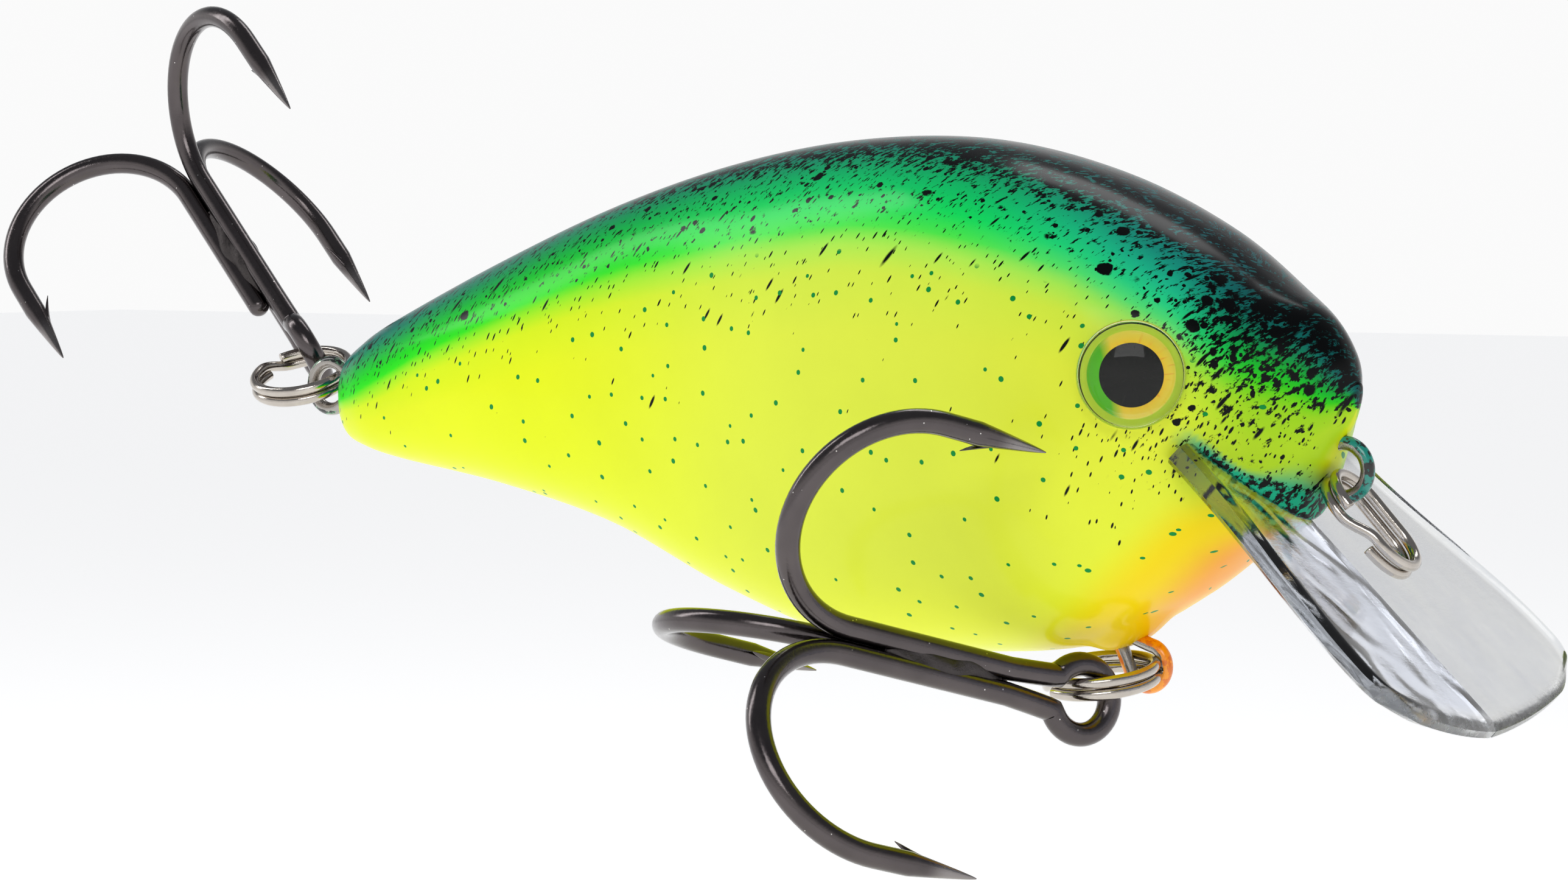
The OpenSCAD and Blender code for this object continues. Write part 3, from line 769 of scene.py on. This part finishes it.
def build_bill_half(side, material):
    rows, columns = 96, 64
    down, out, up = bill_axes(side)
    top, bottom, edge, frost, swirl, root = [], [], [], [], [], []
    for i in range(rows + 1):
        for j in range(columns + 1):
            u, v = i / rows, j / columns
            x, y = bill_plan(u, v)
            rim = min((1 - u) * (BILL_TIP - BILL_ROOT), (1 - v) * BILL_HALF)
            soft = 0.22 * (1 - smooth_step(rim, 0, 0.55)) ** 2
            dish = 0.1 * math.sin(math.pi * min(v * 1.1, 1)) * smooth_step(u, 0.2, 0.5)
            thick = BILL_THICK[0] + (BILL_THICK[1] - BILL_THICK[0]) * u
            wave = 0.028 * math.sin(0.8 * x + 2.6 * math.sin(0.55 * y + 0.2 * x))
            wave *= math.sin(0.6 * y + 0.9)
            wave *= smooth_step(rim, 0, 1.2) * (1.6 if side == RIGHT else 0.35)
            base = BILL_ORIGIN + x * down + y * out
            top.append(base - (soft + 0.4 * dish) * up)
            bottom.append(base - (thick - soft + 0.4 * dish + wave) * up)
            edge.append(rim)
            # root marks the corner of the bill where the grey painted shade of the body's
            # dark inside goes.
            root.append(1 - smooth_step(u * (BILL_TIP - BILL_ROOT) + (1 - v) * 1.2, 0.6, 2.4))
            swirl.append(smooth_step(rim, 0.2, 1.4) * (1.0 if side == RIGHT else 0.1))
            frost.append(1 - smooth_step((1 - u) * (BILL_TIP - BILL_ROOT), 0.3, 1.1))
    size = (rows + 1) * (columns + 1)
    wide = columns + 1
    faces = grid_faces(rows + 1, wide, 0, side > 0)
    faces += grid_faces(rows + 1, wide, size, side < 0)
    border = list(range(wide))
    border += [i * wide + columns for i in range(1, rows + 1)]
    border += [rows * wide + j for j in range(columns - 1, -1, -1)]
    border += [i * wide for i in range(rows - 1, 0, -1)]
    for k, a in enumerate(border):
        b = border[(k + 1) % len(border)]
        f = (a, b, b + size, a + size)
        faces.append(f if side > 0 else f[::-1])
    piece = make_piece("bill_blade_" + SIDE_NAME[side], np.array(top + bottom), faces,
                       "lure_body", material, "bill_half_" + SIDE_NAME[side])
    for name, values in (("edge", edge), ("frost", frost), ("swirl", swirl), ("root", root)):
        set_attribute(piece, name, "FLOAT", values * 2)
    sharpen(piece, 45)


# ---- Metal materials ---------------------------------------------------------
def nickel():
    s = Shader("bright_nickel")
    s.set(Metallic=1.0, Coat_Weight=0.15)
    place = s.millimetres()
    tone = s.noise(place, 1.1, 4)
    s.to("Base Color", s.mix(tone, rgba("cfc8bf"), rgba("a9a199")))
    pits = s.noise(place, 9.0, 3, 0.7)
    s.to("Roughness", s.span(pits, 0.35, 0.75, 0.07, 0.2))
    s.bump(pits, 0.01, 0.5)
    return s.material


def black_nickel():
    s = Shader("black_nickel")
    s.set(Metallic=1.0, Coat_Weight=0.25, Coat_Roughness=0.08)
    place = s.millimetres()
    tone = s.noise(place, 0.5, 4)
    colour = s.mix(tone, rgba("474243"), rgba("625b5b"))
    speck, chance, _ = s.cells(place, 2.6)
    bright = s.math("MULTIPLY", s.math("LESS_THAN", speck, 0.075),
                    s.math("GREATER_THAN", chance, 0.6))
    colour = s.mix(bright, colour, rgba("d8d4d0"))
    bare = s.attribute("ground")
    colour = s.mix(bare, colour, rgba("8b8685"))
    s.to("Base Color", colour)
    grain = s.noise(place, 7.0, 4, 0.7)
    s.to("Roughness", s.span(grain, 0.3, 0.75, 0.1, 0.26))
    s.bump(grain, 0.012, 0.6)
    return s.material


def braze_metal():
    s = Shader("braze")
    s.set(Metallic=1.0)
    place = s.millimetres()
    lumps = s.noise(place, 2.2, 5, 0.7)
    s.to("Base Color", s.mix(lumps, rgba("2c292a"), rgba("5d5857")))
    s.to("Roughness", s.span(lumps, 0.3, 0.7, 0.3, 0.6))
    s.bump(lumps, 0.09, 0.9)
    return s.material


def hanger_metal(name, paint, splatter):
    """Drawn wire, painted on the side that faced the spray."""
    s = Shader(name)
    s.set(Coat_Weight=0.6, Coat_Roughness=0.05)
    place = s.millimetres()
    painted = s.attribute("painted")
    rough = s.noise(place, 2.4, 4, 0.6)
    mask = s.math("SUBTRACT", s.math("ADD", painted, rough), 0.95)
    mask = s.math("MULTIPLY", mask, 12.0, True)
    spots = mist(s, place, 2.4, s.attribute("speckle"), 16.0)
    colour = s.mix(spots, rgba(paint), rgba(splatter))
    colour = s.mix(mask, rgba("a5a09a"), colour)
    s.to("Base Color", colour)
    s.to("Metallic", s.math("SUBTRACT", 1.0, mask))
    s.to("Roughness", s.span(rough, 0.3, 0.7, 0.16, 0.34))
    s.bump(s.noise(place, 5.0, 3), 0.015, 0.6)
    return s.material


# ---- Hanger wires ------------------------------------------------------------
HANGER_WIRE, HANGER_SIDES = 0.6, 22
HANGER_R = 1.1
NECK = 0.6
BELLY_EYE_R, BELLY_EYE_SHIFT = 0.88, np.array([-0.03, 0, 0.1])


def build_hanger(name, node, loop, radius, post, material, paint_reach):
    """A wire eye whose two legs close to a narrow neck and run side by side inside."""
    post = np.array([post[0], 0, post[1]])
    along = unit(post - loop)
    across = np.cross([0, 1, 0], along)
    depth = np.linalg.norm(post - loop) + radius
    eye = [loop + radius * (-math.cos(a) * along + math.sin(a) * across)
           for a in np.radians(np.linspace(-125, 125, 15))]
    neck = radius + NECK
    legs = [(neck - 0.35, 0.45), (neck, 0.34)]
    legs += [(neck + (depth - neck) * k / 6, 0.32) for k in range(1, 6)]
    out = [loop + a * along + b * across for a, b in legs]
    turn = [loop + depth * along]
    back = [loop + a * along - b * across for a, b in legs[::-1]]
    path = rounded_path(eye + out + turn + back, 6, closed=True)
    points, faces = sweep(path, HANGER_WIRE / 2, HANGER_SIDES, closed=True, start=(0, 1, 0))
    piece = make_piece(name, points, faces, "lure_body", material, node)
    centre_line = np.repeat(path, HANGER_SIDES, axis=0)
    outside = np.einsum("ij,ij->i", (points - centre_line) / (HANGER_WIRE / 2),
                        (centre_line - loop) / radius)
    near_body = np.linalg.norm(points - loop, axis=1)
    painted = smooth_step(outside, -0.3, 0.4) * paint_reach
    painted = np.maximum(painted, smooth_step(near_body, radius + 0.4, radius + 0.8))
    set_attribute(piece, "painted", "FLOAT", painted)
    set_attribute(piece, "speckle", "FLOAT", np.full(len(points), 0.55))


# ---- Rings -------------------------------------------------------------------
SPLIT_WIRE = 0.48
SPLIT_R = (5 - SPLIT_WIRE) / 2
SPLIT_PITCH = 0.5
SPLIT_TURNS = 1.94
JOG = 0.13

BELLY_RING_AXIS = [-0.02, -0.18, 0.98]
BELLY_RING_REACH = [-0.57, -0.81, -0.16]
TAIL_RING_AXIS = [0.08, -0.4, 0.91]
TAIL_RING_REACH = [-0.97, 0.2, 0.17]
BELLY_RING_PLAY = [-0.03, 0.25, 0.11]
RING_CUT_ANGLE = 190


def perpendicular(v, axis):
    v, axis = np.asarray(v, float), unit(axis)
    return unit(v - (v @ axis) * axis)


def ring_centre(loop, reach, axis):
    return loop + SPLIT_R * perpendicular(reach, axis)


def coil_offset(turn, turns, pitch):
    """Where a wire lies between its two flat turns: it steps over at the jog."""
    return pitch * (smooth_step(turn, turns / 2 - JOG / 2, turns / 2 + JOG / 2) - 0.5)


def build_split_ring(name, node, body, loop, reach, axis, play, material):
    centre = ring_centre(loop, reach, axis) + play
    turn_axes = axes(loop - centre, axis)
    turns = np.linspace(0, SPLIT_TURNS, 260)
    angle = 2 * math.pi * turns + math.radians(RING_CUT_ANGLE)
    local = np.column_stack([SPLIT_R * np.cos(angle), SPLIT_R * np.sin(angle),
                             coil_offset(turns, SPLIT_TURNS, SPLIT_PITCH)])
    points, faces = sweep(local @ turn_axes.T + centre, SPLIT_WIRE / 2, 20,
                          round_ends=(0.25, 0.25), start=axis)
    piece = make_piece(name, points, faces, body, material, node)
    sharpen(piece, 60)
    return centre


LINE_WIRE = 0.46
LINE_RING_AXIS = [0.75, 0.09, 0.65]
LINE_RING_DOWN = [0.64, 0.14, -0.755]
LINE_RING_TOP = LINE_TIE + np.array([-0.2, -0.42, -0.33])
LINE_RING_LENGTH, LINE_RING_WIDTH = 5.2, 3.4
LINE_TURNS = 1.86
LINE_PITCH = 0.52


def build_line_ring(material):
    """An oval of two turns, with its jog and both cut ends on the near long side."""
    r = (LINE_RING_WIDTH - LINE_WIRE) / 2
    straight = LINE_RING_LENGTH - LINE_RING_WIDTH
    lap = 2 * math.pi * r + 2 * straight
    arc = math.pi * r

    def oval(distance):
        d = distance % lap
        if d < straight:
            return r + straight - d, -r
        d -= straight
        if d < arc:
            a = d / r
            return r - r * math.sin(a), -r * math.cos(a)
        d -= arc
        if d < straight:
            return r + d, r
        a = (d - straight) / r
        return r + straight + r * math.sin(a), r * math.cos(a)

    turns = np.linspace(0, LINE_TURNS, 300)
    start = straight * 0.5 / lap + (1 - LINE_TURNS / 2)
    flat = np.array([oval((start + t) * lap) for t in turns])
    local = np.column_stack([flat, -coil_offset(turns, LINE_TURNS, LINE_PITCH)])
    turn_axes = axes(LINE_RING_DOWN, LINE_RING_AXIS)
    points, faces = sweep(local @ turn_axes.T + LINE_RING_TOP, LINE_WIRE / 2, 20,
                          round_ends=(0.2, 0.2), start=LINE_RING_AXIS)
    piece = make_piece("oval_line_ring", points, faces, "line_ring_body", material,
                       "line_ring")
    sharpen(piece, 60)


# ---- Treble hooks ------------------------------------------------------------
HOOK_WIRE = 1.0
SHANK = 11.4
BEND_R = 4.65
POINT_LEG = 4.8
EYE_LOOP_R = (3.9 - HOOK_WIRE) / 2
SHANK_OFFSET = HOOK_WIRE / 2 / math.sin(math.radians(60)) + 0.02
SHANK_TOP = 3.6
TAPER = 3.2         # length of the ground needle point
BRAZE = (4.0, 9.7)  # where the solder starts and ends along the shank
BARB_ROOT, BARB_LENGTH = 1.7, 2.0
EYE_GAP = 30        # degrees of the eye left open on each side of the shank

BELLY_TREBLE_AXIS = [-0.41, -0.875, 0.255]
BELLY_TREBLE_SINGLE = [-0.91, 0.4, -0.105]
TAIL_TREBLE_AXIS = [-0.715, 0.15, 0.68]
TAIL_TREBLE_SINGLE = [-0.595, -0.64, -0.485]
BELLY_EYE_REACH, BELLY_EYE_PLAY = [0.13, -0.97, -0.18], [-0.14, -0.04, -0.39]
TAIL_EYE_REACH, TAIL_EYE_PLAY = [-0.61, 0.71, 0.36], [0.14, -0.2, 0.22]


def radial(angle, q, z):
    a = math.radians(angle)
    return np.array([q * math.cos(a), q * math.sin(a), z])


def hook_line(angle):
    """Centre line and radii of one hook from the top of its shank to its tip."""
    path = [radial(angle, SHANK_OFFSET, z) for z in np.linspace(SHANK_TOP, SHANK, 14)[:-1]]
    for a in np.radians(np.linspace(0, 180, 44)):
        path.append(radial(angle, SHANK_OFFSET + BEND_R * (1 - math.cos(a)),
                           SHANK + BEND_R * math.sin(a)))
    legs = np.linspace(0, POINT_LEG, 22)[1:]
    path += [radial(angle, SHANK_OFFSET + 2 * BEND_R, SHANK - t) for t in legs]
    radii = np.full(len(path), HOOK_WIRE / 2)
    from_tip = POINT_LEG - legs
    grind = np.clip(from_tip / TAPER, 0, 1)
    radii[-len(legs):] = 0.03 + (HOOK_WIRE / 2 - 0.03) * grind ** 0.85
    return np.array(path), radii


def barb(angle):
    """A sliver raised from the inner side of the point leg, its tip towards the bend."""
    root_z = SHANK - POINT_LEG + BARB_ROOT
    inner = SHANK_OFFSET + 2 * BEND_R
    rings = []
    for share in np.linspace(0, 1, 9):
        z = root_z + BARB_LENGTH * share
        lift = 0.12 + 0.78 * share ** 1.35
        thick = 0.3 * (1 - share) + 0.03
        wide = 0.3 * (1 - share) ** 0.7 + 0.02
        centre = radial(angle, inner - lift, z)
        inward = radial(angle, -1, 0)
        side = np.cross(inward, [0, 0, 1])
        rings.append([centre + thick * inward * c + wide * side * d
                      for c, d in ((0.5, 0), (0.1, 0.8), (-0.5, 1), (-0.5, -1), (0.1, -0.8))])
    points = np.array(rings).reshape(-1, 3)
    return points, tube_faces(len(rings), len(rings[0]), flip=True)


def eye_loop():
    """The hook's eye, from one shank of the double hook round to the other."""
    x = SHANK_OFFSET * math.cos(math.radians(120))
    turns = np.radians(np.linspace(-90 + EYE_GAP, 270 - EYE_GAP, 44))
    return np.array([(x, EYE_LOOP_R * math.cos(a), -EYE_LOOP_R * math.sin(a))
                     for a in turns])


def ground_mask(local):
    """1 on the ground needle points of the hooks, in the treble's own frame."""
    out = np.linalg.norm(local[:, :2], axis=1)
    leg = out > SHANK_OFFSET + 2 * BEND_R - 1.2
    return np.where(leg, 1 - smooth_step(local[:, 2], SHANK - POINT_LEG + 1.4,
                                         SHANK - POINT_LEG + 2.6), 0)


def braze_lump():
    """The uneven solder that fills the space between the three shanks."""
    heights = np.linspace(*BRAZE, 60)
    angles = np.radians(np.arange(0, 360, 5))
    last = len(heights) - 1
    rows = []
    for k, z in enumerate(heights):
        end = math.sin(math.pi * k / last) ** 0.25 if 0 < k < last else 0.55
        lump = 0.05 * np.sin(3 * angles + 1.7 * z) + 0.04 * np.sin(5 * angles - 2.9 * z)
        fill = (SHANK_OFFSET + 0.2 + lump) * end
        rows.append(np.column_stack([fill * np.cos(angles), fill * np.sin(angles),
                                     np.full(len(angles), z)]))
    return np.vstack(rows), tube_faces(len(rows), len(angles))


def build_treble(prefix, body, centre, single, axis, metal, solder):
    turn = axes(single, axis)

    def piece(name, mesh, node, slot_name, material):
        points, faces = mesh
        made = make_piece(name, points @ turn.T + centre, faces, body, material, node)
        set_attribute(made, "ground", "FLOAT", ground_mask(points))
        sharpen(made, 50)

    side_a, radii_a = hook_line(120)
    side_b, radii_b = hook_line(240)
    loop = eye_loop()
    neck_a = rounded_path([side_a[1], side_a[0], loop[0], loop[1]], 6)[6:-6]
    neck_b = rounded_path([loop[-2], loop[-1], side_b[0], side_b[1]], 6)[6:-6]
    path = np.vstack([side_a[:0:-1], neck_a, loop[1:-1], neck_b, side_b[1:]])
    wire = np.full(len(neck_a) + len(loop) - 2 + len(neck_b), HOOK_WIRE / 2)
    radii = np.concatenate([radii_a[:0:-1], wire, radii_b[1:]])
    double = join_parts([sweep(path, radii, 24, start=(1, 0, 0)), barb(120), barb(240)])
    piece(prefix + "_double", double, prefix + "_double_hook", "hook_nickel", metal)

    path, radii = hook_line(0)
    lone = join_parts([sweep(path, radii, 24, round_ends=(0.9, 0), start=(0, 1, 0)),
                       barb(0)])
    piece(prefix + "_single", lone, prefix + "_single_hook", "hook_nickel", metal)

    piece(prefix + "_solder", braze_lump(), prefix + "_hook_braze", "braze", solder)


# ---- Inside parts ------------------------------------------------------------
def plain_metal(name, light, dark, rough):
    s = Shader(name)
    s.set(Metallic=1.0)
    place = s.millimetres()
    tone = s.noise(place, 1.4, 4)
    s.to("Base Color", s.mix(tone, rgba(light), rgba(dark)))
    s.to("Roughness", s.span(s.noise(place, 5, 4), 0.3, 0.7, rough, rough + 0.15))
    s.bump(tone, 0.02, 0.5)
    return s.material


def finish_inside_parts():
    """The ballast and the rattle balls keep their CAD shapes and get real finishes."""
    slug = plain_metal("ballast_lead", "7d8084", "5c5f63", 0.35)
    ball = plain_metal("rattle_steel", "d0d0d2", "a8a8ab", 0.08)
    for node, finish in (("front_ballast", slug), ("rear_ballast", slug),
                         ("rattle_ball_right", ball), ("rattle_ball_left", ball)):
        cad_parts[node].data.materials[0] = finish


# ---- Stage, lights and camera ------------------------------------------------
# In metres: the room below the rest pose for the belly treble to swing down, and half
# the width of the floor.
POSE_ROOM = 0.03
FLOOR_HALF = 1.6


def build_stage():
    floor_z = CAD_BOX[0][2] - POSE_ROOM
    corners = [(x * FLOOR_HALF, y * FLOOR_HALF, floor_z)
               for x, y in ((-1, -1), (1, -1), (1, 1), (-1, 1))]
    mesh = bpy.data.meshes.new("studio_floor")
    mesh.from_pydata(corners, [], [(0, 1, 2, 3)])
    floor = bpy.data.objects.new("studio_floor", mesh)
    bpy.context.scene.collection.objects.link(floor)
    s = Shader("studio_floor")
    s.set(Base_Color=rgba("fafafa"), Roughness=0.9, Specular_IOR_Level=0.05,
          Emission_Color=rgba("ffffff"), Emission_Strength=0.6)
    mesh.materials.append(s.material)


def area_light(name, place_mm, target_mm, size_mm, watts):
    data = bpy.data.lights.new(name, "AREA")
    data.shape = "RECTANGLE"
    data.size, data.size_y = (s * MM for s in size_mm)
    data.energy = watts
    light = bpy.data.objects.new(name, data)
    light.location = Vector(place_mm) * MM
    aim = Vector(target_mm) * MM - light.location
    light.rotation_euler = aim.to_track_quat("-Z", "Y").to_euler()
    bpy.context.scene.collection.objects.link(light)


def build_lights():
    world = bpy.data.worlds.new("studio")
    world.use_nodes = True
    nodes, links = world.node_tree.nodes, world.node_tree.links
    background = nodes["Background"]
    background.inputs["Strength"].default_value = 0.96
    coordinates = nodes.new("ShaderNodeTexCoord")
    ramp = nodes.new("ShaderNodeValToRGB")
    split = nodes.new("ShaderNodeSeparateXYZ")
    links.new(coordinates.outputs["Generated"], split.inputs["Vector"])
    links.new(split.outputs["Z"], ramp.inputs["Fac"])
    stops = ramp.color_ramp.elements
    stops[0].position, stops[0].color = 0.14, rgba("ffffff")
    stops[1].position, stops[1].color = 0.55, rgba("7c7e82")
    links.new(ramp.outputs["Color"], background.inputs["Color"])
    bpy.context.scene.world = world
    bpy.context.scene.view_settings.view_transform = "Standard"
    middle = (-25, 0, 0)
    area_light("key_softbox", (90, -220, 170), middle, (150, 100), 0.17)
    area_light("left_strip", (-290, -90, 210), middle, (60, 260), 0.24)
    area_light("rear_softbox", (-60, 200, 280), middle, (160, 90), 0.12)


# The camera's place is in lure millimetres. The lights' places are from the line tie.
SENSOR_MM = 36
FOCAL_MM = 104.81
CAMERA_PLACE = np.array([141.2, -162.6, 8.0])
CAMERA_LOOK = np.array([-0.580, 0.813, -0.052])


def build_camera():
    data = bpy.data.cameras.new("camera")
    data.sensor_width = SENSOR_MM
    data.lens = FOCAL_MM
    data.clip_start = 0.001
    data.clip_end = 20
    camera = bpy.data.objects.new("camera", data)
    bpy.context.scene.collection.objects.link(camera)
    look = Vector(unit(CAMERA_LOOK))
    side = look.cross(Vector((0, 0, 1))).normalized()
    up = side.cross(look)
    turn = Matrix((side, up, -look)).transposed()
    camera.matrix_world = Matrix.Translation(Vector(row(CAMERA_PLACE))) @ turn.to_4x4()
    bpy.context.scene.camera = camera


# ---- Assembly ----------------------------------------------------------------
def build_lure():
    paint = body_paint()
    bill = bill_material()
    iris = iris_material()
    lens = clear_resin("eye_lens", "fbfff6")
    for side in (RIGHT, LEFT):
        build_body_half(side, paint)
        build_bill_half(side, bill)
        build_eye(side, iris, lens)
    build_hanger("line_tie_loop", "line_tie_wire", LINE_TIE, HANGER_R, (49.7, -1.6),
                 hanger_metal("line_tie_paint", "0f8f80", "060808"), 0.9)
    build_hanger("belly_loop", "belly_hanger_wire", BELLY_LOOP + BELLY_EYE_SHIFT,
                 BELLY_EYE_R, (40.3, -8.0),
                 hanger_metal("belly_loop_paint", "ff9d00", "e87800"), 0.95)
    build_hanger("tail_loop", "tail_hanger_wire", TAIL_LOOP, HANGER_R, (4.2, -0.7),
                 hanger_metal("tail_loop_paint", "1fae6a", "08110c"), 0.5)
    bright = nickel()
    belly_ring = build_split_ring(
        "belly_ring", "belly_split_ring", "belly_ring_body", BELLY_LOOP,
        BELLY_RING_REACH, BELLY_RING_AXIS, BELLY_RING_PLAY, bright)
    tail_ring = build_split_ring(
        "tail_ring", "tail_split_ring", "tail_ring_body", TAIL_LOOP,
        TAIL_RING_REACH, TAIL_RING_AXIS, [0, 0, 0], bright)
    build_line_ring(bright)
    metal, solder = black_nickel(), braze_metal()
    belly_eye = belly_ring + SPLIT_R * perpendicular(BELLY_EYE_REACH, BELLY_RING_AXIS)
    tail_eye = tail_ring + SPLIT_R * perpendicular(TAIL_EYE_REACH, TAIL_RING_AXIS)
    build_treble("belly", "belly_treble", belly_eye + BELLY_EYE_PLAY,
                 BELLY_TREBLE_SINGLE, BELLY_TREBLE_AXIS, metal, solder)
    build_treble("tail", "tail_treble", tail_eye + TAIL_EYE_PLAY,
                 TAIL_TREBLE_SINGLE, TAIL_TREBLE_AXIS, metal, solder)
    finish_inside_parts()


build_camera()
build_stage()
build_lights()
build_lure()
